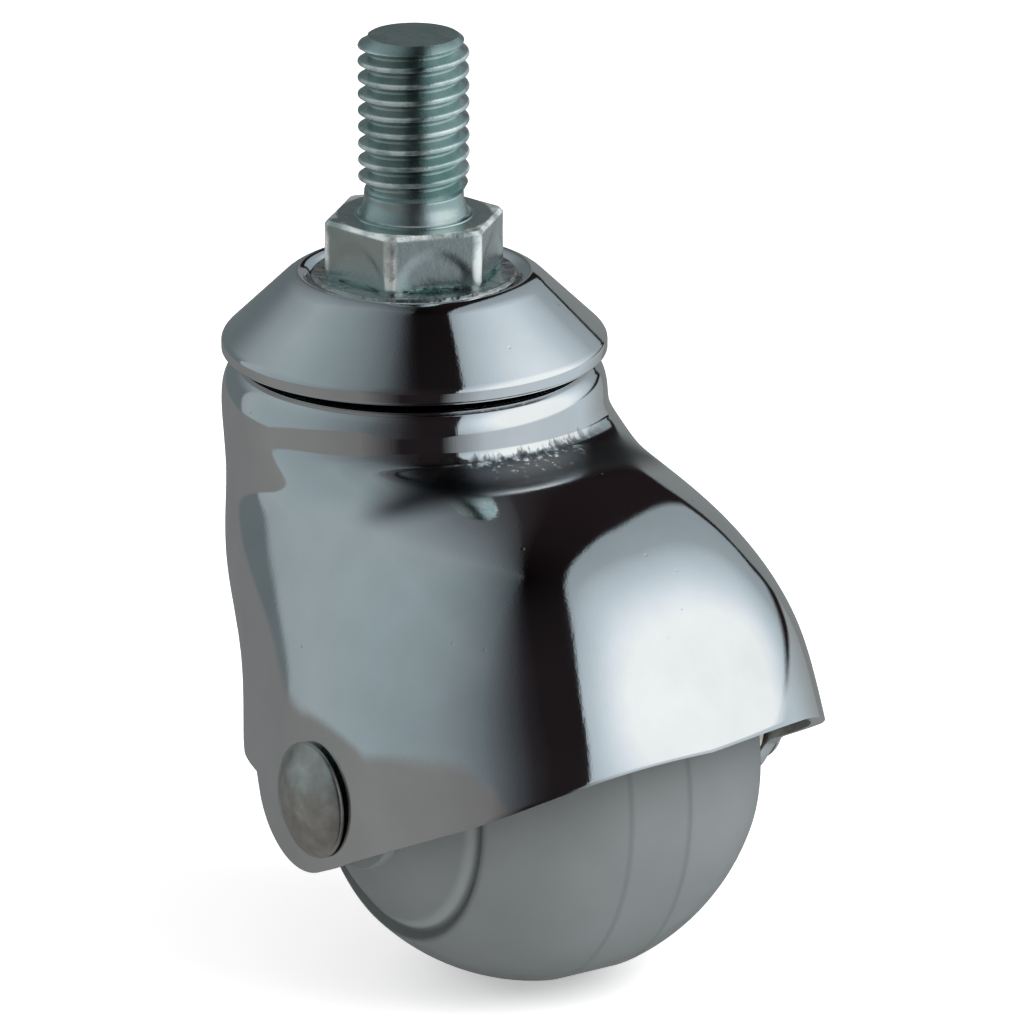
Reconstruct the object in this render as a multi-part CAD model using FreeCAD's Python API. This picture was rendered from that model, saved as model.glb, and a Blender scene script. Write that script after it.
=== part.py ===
import FreeCAD, Part
import math
import os

# Ball castor with a threaded stem. Millimetres. The origin is the centre of the hexagon's top face, on the
# swivel axis. +Z runs up the stud, +X points from the swivel axis to the wheel, and the axle lies along Y.

V = FreeCAD.Vector

# Stem: stud, hexagon, staked collar and kingpin shank in one piece
THREAD_R = 4.93            # crest radius of the M10 thread
STUD_LENGTH = 16.4
STUD_CHAMFER = 0.95
UNDERCUT_R = 4.45          # plain waist under the last thread
UNDERCUT_LENGTH = 2.0
FLARE_R = 4.8              # where the waist widens into the hexagon
SEAT_RING_R = 5.3          # low ring on top of the hexagon
SEAT_RING_HEIGHT = 0.15
HEX_FLATS = 14.3
HEX_LENGTH = 5.3
HEX_TURN = 12.0            # degrees from +X to the nearest corner
HEX_BEVEL = 0.35
COLLAR_R = 9.2
COLLAR_LENGTH = 0.6
SHANK_R = 5.0
PEEN_R = 7.2               # spread end of the shank under the lower race
PEEN_TIP_R = 5.4
PEEN_LENGTH = 1.5

# Cap: pressed cone over the race
CAP_SHEET = 1.1
CAP_LIP_R = 10.35          # crest of the rolled lip round the hexagon
CAP_LIP_RISE = 0.8         # lip crest over the recess floor
CAP_CONE_TOP_R = 11.4
CAP_CONE_TOP_DROP = 0.55   # from lip crest to the start of the cone
CAP_RIM_R = 17.15
CAP_CONE_ANGLE = 44.0      # below the horizontal
CAP_RIM_CORNER = 0.5       # rounding between cone and rim
CAP_RIM_HEIGHT = 1.3
CAP_RIM_CURL = 0.5         # rounding at the rim's lower edge

# Swivel race, two rows of loose balls
BALL_R = 2.0
BALL_COUNT = 15
LOWER_BALL_R = 1.6
LOWER_COUNT = 13
LOWER_CIRCLE_INSET = 0.4   # lower row's circle inside the upper row's
RACE_GAP = 0.08            # between a ball and its groove
RACE_WALL = 0.9            # race beside and under a row of balls
RACE_WEB = 1.0             # flat part of a race round the shank
RACE_FIT = 0.15            # between the race's cone and the cap's
RACE_SIDE_GAP = 1.67       # between the race's skirt and the cap's rim
SKIRT_GAP = 0.4            # race skirt over the hood's flange
CAP_GAP = 0.55             # cap rim over the hood's shoulder

# Wheel and axle
WHEEL_R = 20.3
WHEEL_OFFSET = 19.3        # axle in front of the swivel axis
AXLE_DROP = 44.6           # axle below the hexagon's top face
BAND_HALF = 2.8            # flat running band, half its width
STEP_R = 14.0              # where the tread's side ends
STEP_WIDTH = 0.6
STEP_DEPTH = 0.8
BOSS_R = 7.0               # raised ring round the wheel's bore
BOSS_CORNER = 0.3
HUB_CLEARANCE = 0.4        # between hub, washer and cheek
HUB_BORE_GAP = 0.08
AXLE_R = 2.5
AXLE_HOLE_GAP = 0.05
HEAD_R = 5.15
HEAD_HEIGHT = 2.1
HEAD_RIM = 0.35            # straight edge of the domed head
HEAD_SEAT_GAP = 0.15
SLEEVE_WALL = 1.5
WASHER_R = 5.2
WASHER_THICKNESS = 1.5

# Hood: one pressed shell
HOOD_SHEET = 1.3
NECK_OVERHANG = 0.05       # neck outside the cap's rim
SHOULDER_WIDTH = 1.7       # from the neck in to the flat top
SHOULDER_DROP = 3.0        # height over which the shoulder falls to the neck
NECK_LENGTH = 4.7          # from the hood's top to the first section
FLANGE_LAND = 2.8          # flange inside the circle of the upper balls
DOME_GAP = 4.85            # between wheel and dome
CHEEK_GAP = 1.25           # between wheel radius and the inside of a cheek
MOUTH_ANGLE = 26.0         # mouth edge above the horizontal, rising to the front
MOUTH_DROP = 6.9           # mouth edge below the axle
MOUTH_LIFT_START = 17.5    # where the mouth edge starts to curve up, in front of the axle
MOUTH_LIFT_R = 29.9
MOUTH_LIFT_END = 65.0      # its slope past the dome's front
EAR_R = 8.6                # round lobe of the ear
EAR_SETBACK = 2.8          # centre of the lobe behind the axle
HEEL_DROP = 1.05           # lower rear corner of a cheek below the axle
HEEL_SETBACK = 16.5        # and behind the axle
HEEL_CORNER = 2.5
HEEL_NOTCH = 1.5           # hollow corner between lobe and heel
REAR_ANGLE = 54.4          # rear edge above the horizontal, rising to the back
TONGUE_DROP = 5.0          # neck left standing at the back, below the first section
TONGUE_CORNER = 6.0
REAR_MOUTH_X = -4.5        # rear end of the mouth section
SECTION_POINTS = 24

# Sections of the hood from neck to mouth: share of the way down, share of the growth in width, squareness of
# the front half and of the rear half (2 is an ellipse), and the rear wall's share of its run forward. The last
# one lies below the mouth and is cut away.
HOOD_SECTIONS = [
    (0.00, 0.00, 2.00, 2.00, 0.00),
    (0.06, -0.09, 2.00, 2.10, -0.02),
    (0.18, -0.04, 2.00, 2.25, 0.01),
    (0.35, 0.34, 2.23, 2.30, 0.17),
    (0.53, 0.69, 2.45, 2.10, 0.41),
    (0.71, 0.94, 2.52, 2.25, 0.585),
    (0.87, 1.00, 2.49, 2.55, 0.70),
    (1.00, 1.00, 2.49, 2.60, 0.90),
    (1.13, 1.00, 2.49, 2.60, 1.06),
]
SETTLE_SHARE = 0.15        # where the crown has left the neck
CROWN_SWELL = -0.27        # dome's crown against a true sphere, flatter when negative
SWELL_SKEW = 2.0           # moves the swell towards the mouth
WIDEST_SHARE = 0.56        # widest place of the mouth section, as a share of its length

# Heights, worked out down the stem
hex_bottom = -HEX_LENGTH
cap_floor = hex_bottom - COLLAR_LENGTH
race_top = cap_floor - CAP_SHEET
cap_lip = cap_floor + CAP_LIP_RISE
cone_top = cap_lip - CAP_CONE_TOP_DROP
cone_slope = math.tan(math.radians(CAP_CONE_ANGLE))
rim_top = cone_top - (CAP_RIM_R - CAP_CONE_TOP_R) * cone_slope
rim_bottom = rim_top - CAP_RIM_HEIGHT
hood_top = rim_bottom - CAP_GAP
groove_r = BALL_R + RACE_GAP
ball_circle_r = CAP_RIM_R - CAP_SHEET - RACE_SIDE_GAP - RACE_WALL - groove_r
lower_circle_r = ball_circle_r - LOWER_CIRCLE_INSET
ball_z = hood_top + BALL_R - RACE_GAP
flange_under = hood_top - HOOD_SHEET
lower_groove_r = LOWER_BALL_R + RACE_GAP
lower_ball_z = flange_under - LOWER_BALL_R + RACE_GAP
lower_race_top = lower_ball_z - 0.5 * LOWER_BALL_R
lower_race_bottom = lower_ball_z - lower_groove_r - RACE_WALL
neck_r = CAP_RIM_R + NECK_OVERHANG
neck_z = hood_top - NECK_LENGTH
axle_z = -AXLE_DROP

# Hood sizes that follow the wheel
dome_r = WHEEL_R + DOME_GAP + HOOD_SHEET
cheek_half = WHEEL_R + CHEEK_GAP + HOOD_SHEET
cheek_inside = WHEEL_R + CHEEK_GAP
sleeve_r = AXLE_R + AXLE_HOLE_GAP + SLEEVE_WALL
hub_half = cheek_inside - WASHER_THICKNESS - 2.0 * HUB_CLEARANCE


def save(shape, node):
    os.makedirs("parts", exist_ok=True)
    shape.exportStep("parts/" + node + ".step")


def revolve_z(wire):
    return Part.Face(wire).revolve(V(0, 0, 0), V(0, 0, 1), 360)


def profile(points):
    return Part.makePolygon([V(r, 0, z) for r, z in points + points[:1]])


def mix(a, b, share):
    return a + (b - a) * share


def line(a, b):
    return Part.LineSegment(V(a[0], 0, a[1]), V(b[0], 0, b[1])).toShape()


def arc(a, middle, b):
    return Part.Arc(V(a[0], 0, a[1]), V(middle[0], 0, middle[1]), V(b[0], 0, b[1])).toShape()


def around(centre, radius, degrees):
    angle = math.radians(degrees)
    return (centre[0] + radius * math.cos(angle), centre[1] + radius * math.sin(angle))


def make_stem():
    stud_wall = [
        (0.0, STUD_LENGTH),
        (THREAD_R - STUD_CHAMFER, STUD_LENGTH),
        (THREAD_R, STUD_LENGTH - STUD_CHAMFER),
        (THREAD_R, UNDERCUT_LENGTH + THREAD_R - UNDERCUT_R),
        (UNDERCUT_R, UNDERCUT_LENGTH),
        (FLARE_R, SEAT_RING_HEIGHT),
        (SEAT_RING_R, SEAT_RING_HEIGHT),
        (SEAT_RING_R, 0.0),
        (0.0, 0.0),
    ]
    stud = revolve_z(profile(stud_wall))
    corner_r = HEX_FLATS / math.sqrt(3.0)
    corners = [around((0, 0), corner_r, HEX_TURN + 60 * k) for k in range(7)]
    hexagon = Part.Face(Part.makePolygon([V(x, y, hex_bottom) for x, y in corners]))
    hexagon = hexagon.extrude(V(0, 0, HEX_LENGTH))
    bevel = revolve_z(profile([
        (0.0, hex_bottom), (corner_r, hex_bottom), (corner_r, -HEX_BEVEL),
        (corner_r - 2.0 * HEX_BEVEL, 0.0), (0.0, 0.0)]))
    hexagon = hexagon.common(bevel)
    peen_top = lower_race_bottom
    shank = revolve_z(profile([
        (0.0, hex_bottom), (COLLAR_R - 0.5 * COLLAR_LENGTH, hex_bottom),
        (COLLAR_R, hex_bottom - 0.5 * COLLAR_LENGTH), (COLLAR_R, cap_floor),
        (SHANK_R, cap_floor), (SHANK_R, peen_top), (PEEN_R, peen_top),
        (PEEN_R, peen_top - 0.4 * PEEN_LENGTH), (PEEN_TIP_R, peen_top - PEEN_LENGTH),
        (0.0, peen_top - PEEN_LENGTH)]))
    return stud.fuse([hexagon, shank]).removeSplitter()


def cap_inside_z(radius):
    # Underside of the cap's cone
    return cone_top - CAP_SHEET / math.cos(math.radians(CAP_CONE_ANGLE)) - (radius - CAP_CONE_TOP_R) * cone_slope


def crest_arc(end, crest):
    # Arc from a lower point up to a crest, level at the crest
    drop = crest[1] - end[1]
    radius = ((crest[0] - end[0]) ** 2 + drop * drop) / (2.0 * drop)
    centre = (crest[0], crest[1] - radius)
    turn = math.degrees(math.atan2(end[0] - centre[0], end[1] - centre[1]))
    return arc(end, around(centre, radius, 90.0 - 0.5 * turn), crest)


def corner_arc(before, corner, after):
    # Arc between two points at the same distance from a sharp corner, tangent to both sides
    middle = (0.5 * (before[0] + after[0]), 0.5 * (before[1] + after[1]))
    side = math.hypot(before[0] - corner[0], before[1] - corner[1])
    half = math.hypot(before[0] - middle[0], before[1] - middle[1])
    depth = math.hypot(middle[0] - corner[0], middle[1] - corner[1])
    share = side * (side - half) / (depth * depth)
    return arc(before, (mix(corner[0], middle[0], share), mix(corner[1], middle[1], share)), after)


def make_cap():
    slope = math.radians(CAP_CONE_ANGLE)
    lip_in = (CAP_LIP_R - CAP_LIP_RISE, cap_floor)
    crest = (CAP_LIP_R, cap_lip)
    cone_start = (CAP_CONE_TOP_R, cone_top)
    corner = (CAP_RIM_R, rim_top)
    before = (corner[0] - CAP_RIM_CORNER * math.cos(slope), corner[1] + CAP_RIM_CORNER * math.sin(slope))
    after = (corner[0], corner[1] - CAP_RIM_CORNER)
    curl_top = (CAP_RIM_R, rim_bottom + CAP_RIM_CURL)
    curl_end = (CAP_RIM_R - CAP_RIM_CURL, rim_bottom)
    inner_r = CAP_RIM_R - CAP_SHEET
    inner_corner = (inner_r, cap_inside_z(inner_r))
    inner_top_r = CAP_CONE_TOP_R + (cap_inside_z(CAP_CONE_TOP_R) - race_top) / cone_slope
    edges = [
        line((SHANK_R, cap_floor), lip_in),
        crest_arc(lip_in, crest),
        crest_arc(cone_start, crest),
        line(cone_start, before),
        corner_arc(before, corner, after),
        line(after, curl_top),
        corner_arc(curl_top, (CAP_RIM_R, rim_bottom), curl_end),
        line(curl_end, (inner_r, rim_bottom)),
        line((inner_r, rim_bottom), inner_corner),
        line(inner_corner, (inner_top_r, race_top)),
        line((inner_top_r, race_top), (SHANK_R, race_top)),
        line((SHANK_R, race_top), (SHANK_R, cap_floor)),
    ]
    return revolve_z(Part.Wire(edges))


def race_groove(circle_r, z, radius):
    return Part.makeTorus(circle_r, radius, V(0, 0, z), V(0, 0, 1))


def make_upper_race():
    skirt_in = ball_circle_r + groove_r
    skirt_r = skirt_in + RACE_WALL
    skirt_bottom = hood_top + SKIRT_GAP
    foot_r = ball_circle_r - groove_r - RACE_WALL
    top_r = CAP_CONE_TOP_R + (cap_inside_z(CAP_CONE_TOP_R) - RACE_FIT - race_top) / cone_slope
    blank = revolve_z(profile([
        (SHANK_R, race_top),
        (top_r, race_top),
        (skirt_r, cap_inside_z(skirt_r) - RACE_FIT),
        (skirt_r, skirt_bottom),
        (skirt_in, skirt_bottom),
        (skirt_in, ball_z),
        (foot_r, ball_z),
        (foot_r, race_top - RACE_WEB),
        (SHANK_R, race_top - RACE_WEB),
    ]))
    return blank.cut(race_groove(ball_circle_r, ball_z, groove_r))


def make_lower_race():
    blank = revolve_z(profile([
        (SHANK_R, lower_race_top), (lower_circle_r + lower_groove_r + RACE_WALL, lower_race_top),
        (lower_circle_r + lower_groove_r + RACE_WALL, lower_race_bottom), (SHANK_R, lower_race_bottom)]))
    return blank.cut(race_groove(lower_circle_r, lower_ball_z, lower_groove_r))


def make_ball(radius, circle_r, z, index, count):
    x, y = around((0, 0), circle_r, 360.0 * (index + 0.5) / count)
    return Part.makeSphere(radius, V(x, y, z), V(0, 0, 1))


def mouth_front_angle():
    # Where the mouth line meets the dome's circle, as an angle from straight up
    slope = math.radians(MOUTH_ANGLE)
    near = -MOUTH_DROP * math.cos(slope)
    return math.pi / 2.0 - slope - math.asin(near / dome_r)


def crown_point(share, inset):
    # Crown line: polar about the axle, from the front of the neck to the front of the mouth
    if share == 0.0:
        return (neck_r - inset, neck_z)
    start_x = neck_r - WHEEL_OFFSET
    start_z = neck_z - axle_z
    angle = mix(math.atan2(start_x, start_z), mouth_front_angle(), share)
    settle = 1.0 - (1.0 - min(1.0, share / SETTLE_SHARE)) ** 2
    past = max(0.0, share - SETTLE_SHARE) / (1.0 - SETTLE_SHARE)
    swell = CROWN_SWELL * math.sin(math.pi * past ** SWELL_SKEW)
    radius = mix(math.hypot(start_x, start_z), dome_r, settle) + swell - inset
    return (WHEEL_OFFSET + radius * math.sin(angle), axle_z + radius * math.cos(angle))


def rear_point(share, run, inset):
    # Rear line: from the back of the neck down and forward to the mouth section
    front_x, front_z = crown_point(1.0, 0.0)
    end_z = front_z + (REAR_MOUTH_X - front_x) * math.tan(math.radians(MOUTH_ANGLE))
    return (mix(-neck_r, REAR_MOUTH_X, run) + inset, mix(neck_z, end_z, share))


def closed_curve(points):
    curve = Part.BSplineCurve()
    curve.interpolate(Points=points, PeriodicFlag=True)
    return Part.Wire(curve.toShape())


def section_angles():
    return [math.pi + 2.0 * math.pi * k / SECTION_POINTS for k in range(SECTION_POINTS)]


def neck_section(radius, z):
    return closed_curve([V(radius * math.cos(a), radius * math.sin(a), z) for a in section_angles()])


def body_section(down, widening, front_square, rear_square, run, inset):
    front = crown_point(down, inset)
    rear = rear_point(down, run, inset)
    half = mix(neck_r, cheek_half, widening) - inset
    middle = mix(0.5, WIDEST_SHARE, down)
    points = []
    for angle in section_angles():
        c, s = math.cos(angle), math.sin(angle)
        power = 2.0 / (front_square if c > 0.0 else rear_square)
        along = math.copysign(abs(c) ** power, c)
        across = math.copysign(abs(s) ** power, s)
        reach = (1.0 - middle) if along > 0.0 else middle
        share = middle + reach * along
        points.append(V(mix(rear[0], front[0], share), half * across, mix(rear[1], front[1], share)))
    return closed_curve(points)


def hood_form(inset):
    # Shoulder and neck are round sections, and the dome and cheeks follow them in one skin
    wires = []
    for turn in (5.0, 30.0, 60.0, 90.0):
        angle = math.radians(turn)
        radius = neck_r - SHOULDER_WIDTH * (1.0 - math.sin(angle)) - inset
        wires.append(neck_section(radius, hood_top - inset - (SHOULDER_DROP - inset) * (1.0 - math.cos(angle))))
    wires += [body_section(a, b, c, d, e, inset) for a, b, c, d, e in HOOD_SECTIONS]
    return Part.makeLoft(wires, True, False, False, 3)


def mouth_line_z(x):
    return axle_z - MOUTH_DROP + (x - WHEEL_OFFSET) * math.tan(math.radians(MOUTH_ANGLE))


def is_cross_edge(edge, point):
    return all(math.hypot(v.X - point[0], v.Z - point[1]) < 1e-6 for v in edge.Vertexes)


def edge_tool():
    # Everything below the hood's edge, seen from the side: mouth line, ear lobe, heel, rear line, tongue
    far_x = WHEEL_OFFSET + 2.0 * dome_r
    deep = axle_z - 2.0 * dome_r
    width = 4.0 * dome_r
    ear = (WHEEL_OFFSET - EAR_SETBACK, 0.0)
    ear = (ear[0], mouth_line_z(ear[0]) + EAR_R / math.cos(math.radians(MOUTH_ANGLE)))
    ear_start = around(ear, EAR_R, MOUTH_ANGLE - 90.0)
    heel = (WHEEL_OFFSET - HEEL_SETBACK, axle_z - HEEL_DROP)
    drop = ear[1] - heel[1]
    notch = (ear[0] - math.sqrt(EAR_R * EAR_R - drop * drop), heel[1])
    ear_middle = around(ear, EAR_R, 0.5 * (MOUTH_ANGLE - 90.0 - 180.0 + math.degrees(math.asin(drop / EAR_R))))
    tongue_z = neck_z - TONGUE_DROP
    tongue = (heel[0] - (tongue_z - heel[1]) / math.tan(math.radians(REAR_ANGLE)), tongue_z)
    lift = (WHEEL_OFFSET + MOUTH_LIFT_START, 0.0)
    lift = (lift[0], mouth_line_z(lift[0]))
    bend = around(lift, MOUTH_LIFT_R, MOUTH_ANGLE + 90.0)
    lift_end = around(bend, MOUTH_LIFT_R, MOUTH_LIFT_END - 90.0)
    lift_middle = around(bend, MOUTH_LIFT_R, 0.5 * (MOUTH_ANGLE + MOUTH_LIFT_END) - 90.0)
    outline = [
        line((far_x, lift_end[1]), lift_end),
        arc(lift_end, lift_middle, lift),
        line(lift, ear_start),
        arc(ear_start, ear_middle, notch),
        line(notch, heel),
        line(heel, tongue),
        line(tongue, (-far_x, tongue_z)),
        line((-far_x, tongue_z), (-far_x, deep)),
        line((-far_x, deep), (far_x, deep)),
        line((far_x, deep), (far_x, lift_end[1])),
    ]
    tool = Part.Face(Part.Wire(outline)).extrude(V(0, width, 0))
    tool.translate(V(0, -0.5 * width, 0))
    for point, radius in ((notch, HEEL_NOTCH), (heel, HEEL_CORNER), (tongue, TONGUE_CORNER)):
        tool = tool.makeFillet(radius, [e for e in tool.Edges if is_cross_edge(e, point)])
    return tool


def make_hood():
    shell = hood_form(0.0).cut(hood_form(HOOD_SHEET))
    shell = shell.cut(edge_tool())
    bore = Part.makeCylinder(ball_circle_r - FLANGE_LAND, 4.0 * HOOD_SHEET, V(0, 0, hood_top - 3.0 * HOOD_SHEET))
    hole_r = AXLE_R + AXLE_HOLE_GAP
    holes = Part.makeCylinder(hole_r, 4.0 * cheek_half, V(WHEEL_OFFSET, -2.0 * cheek_half, axle_z), V(0, 1, 0))
    level = Part.makeCylinder(2.0 * neck_r, 4.0 * HOOD_SHEET, V(0, 0, hood_top))
    shell = shell.cut([bore, holes, level])
    shell = shell.cut(race_groove(ball_circle_r, ball_z, groove_r))
    return shell.cut(race_groove(lower_circle_r, lower_ball_z, lower_groove_r)).Solids[0]


def revolve_axle(edges):
    # A profile drawn as (radius, distance along Y) is turned about the axle
    solid = revolve_z(Part.Wire(edges))
    solid.rotate(V(0, 0, 0), V(1, 0, 0), -90)
    solid.translate(V(WHEEL_OFFSET, 0, axle_z))
    return solid


def sphere_height(radius, sphere):
    return math.sqrt(sphere * sphere - radius * radius)


def sphere_arc(start_r, end_r, sphere, side):
    points = [(r, side * sphere_height(r, sphere)) for r in (start_r, 0.5 * (start_r + end_r), end_r)]
    return arc(points[0], points[1], points[2])


def wheel_side(side):
    # One half of the wheel's section, from the bore out to the running band
    bore = sleeve_r + HUB_BORE_GAP
    hub_sphere = WHEEL_R - STEP_DEPTH
    step_in = STEP_R - STEP_WIDTH
    boss = (BOSS_R, side * (hub_half - BOSS_CORNER))
    boss_foot = (BOSS_R, side * sphere_height(BOSS_R, hub_sphere))
    step_foot = (step_in, side * sphere_height(step_in, hub_sphere))
    step_top = (STEP_R, side * sphere_height(STEP_R, WHEEL_R))
    band_r = sphere_height(BAND_HALF, WHEEL_R)
    return [
        line((bore, side * hub_half), (BOSS_R - BOSS_CORNER, side * hub_half)),
        line((BOSS_R - BOSS_CORNER, side * hub_half), boss),
        line(boss, boss_foot),
        sphere_arc(BOSS_R, step_in, hub_sphere, side),
        line(step_foot, step_top),
        sphere_arc(STEP_R, band_r, WHEEL_R, side),
    ]


def make_wheel():
    bore = sleeve_r + HUB_BORE_GAP
    band_r = sphere_height(BAND_HALF, WHEEL_R)
    far_side = wheel_side(1) + [line((band_r, BAND_HALF), (band_r, -BAND_HALF))]
    near_side = list(reversed(wheel_side(-1))) + [line((bore, -hub_half), (bore, hub_half))]
    return revolve_axle(far_side + near_side)


def make_axle():
    seat = cheek_half + HEAD_SEAT_GAP
    rim = seat + HEAD_RIM
    top = seat + HEAD_HEIGHT
    dome = HEAD_HEIGHT - HEAD_RIM
    sphere = (HEAD_R * HEAD_R + dome * dome) / (2.0 * dome)
    middle = 0.55 * HEAD_R
    middle_y = top - sphere + math.sqrt(sphere * sphere - middle * middle)
    edges = [
        line((0, -top), (0, top)),
        arc((0, top), (middle, middle_y), (HEAD_R, rim)),
        line((HEAD_R, rim), (HEAD_R, seat)),
        line((HEAD_R, seat), (AXLE_R, seat)),
        line((AXLE_R, seat), (AXLE_R, -seat)),
        line((AXLE_R, -seat), (HEAD_R, -seat)),
        line((HEAD_R, -seat), (HEAD_R, -rim)),
        arc((HEAD_R, -rim), (middle, -middle_y), (0, -top)),
    ]
    return revolve_axle(edges)


def tube_on_axle(inner, outer, start, end):
    corners = [(inner, start), (outer, start), (outer, end), (inner, end)]
    edges = [line(a, b) for a, b in zip(corners, corners[1:] + corners[:1])]
    return revolve_axle(edges)


def make_sleeve():
    reach = cheek_inside - HUB_CLEARANCE
    return tube_on_axle(AXLE_R + AXLE_HOLE_GAP, sleeve_r, -reach, reach)


def make_washer(side):
    inside = hub_half + HUB_CLEARANCE
    start = side * inside
    end = side * (inside + WASHER_THICKNESS)
    return tube_on_axle(sleeve_r + AXLE_HOLE_GAP, WASHER_R, start, end)


save(make_stem(), "stem")
save(make_cap(), "cap")
save(make_upper_race(), "upper_race")
save(make_lower_race(), "lower_race")
for n in range(BALL_COUNT):
    save(make_ball(BALL_R, ball_circle_r, ball_z, n, BALL_COUNT), "upper_ball_%02d" % (n + 1))
for n in range(LOWER_COUNT):
    save(make_ball(LOWER_BALL_R, lower_circle_r, lower_ball_z, n, LOWER_COUNT), "lower_ball_%02d" % (n + 1))
save(make_hood(), "hood")
save(make_wheel(), "wheel")
save(make_axle(), "axle")
save(make_sleeve(), "axle_sleeve")
save(make_washer(-1), "thrust_washer_near")
save(make_washer(1), "thrust_washer_far")
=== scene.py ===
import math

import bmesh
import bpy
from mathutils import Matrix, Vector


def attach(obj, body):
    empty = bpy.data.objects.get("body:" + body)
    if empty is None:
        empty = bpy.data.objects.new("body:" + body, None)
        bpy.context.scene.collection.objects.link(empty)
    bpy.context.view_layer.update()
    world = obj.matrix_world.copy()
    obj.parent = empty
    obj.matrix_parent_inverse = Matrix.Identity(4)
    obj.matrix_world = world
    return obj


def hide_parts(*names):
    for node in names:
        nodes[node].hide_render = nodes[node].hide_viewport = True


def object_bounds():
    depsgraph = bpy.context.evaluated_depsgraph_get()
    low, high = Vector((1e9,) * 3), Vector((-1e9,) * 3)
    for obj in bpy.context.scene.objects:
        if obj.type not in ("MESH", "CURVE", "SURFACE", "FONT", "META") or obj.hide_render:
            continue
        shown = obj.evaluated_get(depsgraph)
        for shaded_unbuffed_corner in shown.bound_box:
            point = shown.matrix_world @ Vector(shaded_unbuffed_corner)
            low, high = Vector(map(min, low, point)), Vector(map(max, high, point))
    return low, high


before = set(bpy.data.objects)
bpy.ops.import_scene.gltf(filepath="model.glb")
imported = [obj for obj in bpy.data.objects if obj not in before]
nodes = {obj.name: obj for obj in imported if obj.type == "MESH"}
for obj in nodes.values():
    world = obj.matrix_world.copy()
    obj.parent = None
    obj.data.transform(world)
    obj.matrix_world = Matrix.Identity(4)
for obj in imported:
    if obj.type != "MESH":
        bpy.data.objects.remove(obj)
cad_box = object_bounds()

# %% [markdown]
# # A ball castor, dressed for a close look
# The CAD model arrives as a fixed frame: every solid is already in its place, in metres. This lesson gives
# the pieces that carry the castor's looks a finer mesh and a real finish. Lengths are written in millimetres,
# the unit a maker would use, and turned into metres where a mesh is made.

MM = 0.001
AXLE = Vector((19.3, 0.0, -44.6))
print("CAD nodes:", len(nodes), "box in mm:", [[round(v / MM, 1) for v in shaded_unbuffed_corner] for shaded_unbuffed_corner in cad_box])

# %% [markdown]
# ## The camera
# A product photographer uses a long lens, so that upright edges stay nearly parallel. The camera stands 0.8 m
# away, turned 57 degrees from square on to the near cheek towards the castor's front, and 18 degrees above
# it. Its picture is square.

# %% Camera
CAMERA_TURN, CAMERA_LIFT, CAMERA_DISTANCE = 57.1, 18.4, 800.0
AIM_RIGHT, AIM_DOWN = 4.27, 0.57
turned_by, lifted_by = math.radians(CAMERA_TURN), math.radians(CAMERA_LIFT)
towards = Vector((math.sin(turned_by) * math.cos(lifted_by), -math.cos(turned_by) * math.cos(lifted_by),
                  math.sin(lifted_by)))
right = Vector((math.cos(turned_by), math.sin(turned_by), 0.0))
up = towards.cross(right)
middle = Vector((8.0, 0.0, -25.0))
eye = middle + CAMERA_DISTANCE * towards
aim = middle + AIM_RIGHT * right - AIM_DOWN * up

camera_data = bpy.data.cameras.new("camera")
camera_data.sensor_width = 36.0
camera_data.lens = 317.8
camera_data.clip_start = 0.05
camera_data.clip_end = 20.0
camera = bpy.data.objects.new("camera", camera_data)
camera.location = eye * MM
camera.rotation_euler = (aim - eye).to_track_quat("-Z", "Y").to_euler()
bpy.context.collection.objects.link(camera)
bpy.context.scene.camera = camera
print("camera at", [round(v, 3) for v in camera.location])

# %% [markdown]
# ## Helpers for turned pieces
# Most of a castor is turned, pressed or spun, so one outline swept round an axis makes most of its pieces.
# The outline is a short list of radius, height and corner rounding. Spin makes the rings and bevel rounds
# them, as a tool's nose or a press radius does on the real piece.

# %% Turned pieces
def turned(bm, outline, steps, closed=False):
    """Spin an outline of (radius, height, rounding), in millimetres, about the Z axis of bm."""
    verts = [bm.verts.new((radius * MM, 0.0, height * MM)) for radius, height, rounding in outline]
    pairs = list(zip(verts, verts[1:])) + ([(verts[-1], verts[0])] if closed else [])
    edges = [bm.edges.new(pair) for pair in pairs]
    bmesh.ops.spin(bm, geom=verts + edges, cent=(0, 0, 0), axis=(0, 0, 1), angle=2.0 * math.pi, steps=steps,
                   use_merge=True)
    bmesh.ops.remove_doubles(bm, verts=bm.verts, dist=1e-7)
    for radius, height, rounding in outline:
        if rounding > 0.0:
            round_ring(bm, radius, height, rounding)


def round_ring(bm, radius, height, rounding):
    """Bevel the ring of edges at one radius and height."""
    on_ring = [v for v in bm.verts if abs(v.co.z - height * MM) < 2e-7
               and abs(math.hypot(v.co.x, v.co.y) - radius * MM) < 2e-6]
    chosen = set(on_ring)
    ring = [e for e in bm.edges if e.verts[0] in chosen and e.verts[1] in chosen]
    bmesh.ops.bevel(bm, geom=ring, offset=rounding * MM, offset_type="OFFSET", segments=3, profile=0.5,
                    affect="EDGES", material=-1, clamp_overlap=True)


def finish_piece(bm, name, material, body, slot, *stands_for, sharp=32.0):
    """Turn bm into a named piece that rides on a body and stands for CAD nodes."""
    bmesh.ops.remove_doubles(bm, verts=bm.verts, dist=1e-7)
    bmesh.ops.recalc_face_normals(bm, faces=bm.faces)
    mesh = bpy.data.meshes.new(name)
    bm.to_mesh(mesh)
    bm.free()
    mesh.shade_smooth()
    mesh.set_sharp_from_angle(angle=math.radians(sharp))
    mesh.materials.append(material)
    piece = bpy.data.objects.new(name, mesh)
    bpy.context.collection.objects.link(piece)
    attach(piece, body)
    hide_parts(*stands_for)
    print(name, "faces:", len(mesh.polygons))


def lay_on_axle(bm):
    """Turn a piece made round Z so that it lies round the axle."""
    turn = Matrix.Translation(AXLE * MM) @ Matrix.Rotation(math.radians(-90.0), 4, "X")
    bmesh.ops.transform(bm, matrix=turn, verts=bm.verts)


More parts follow.
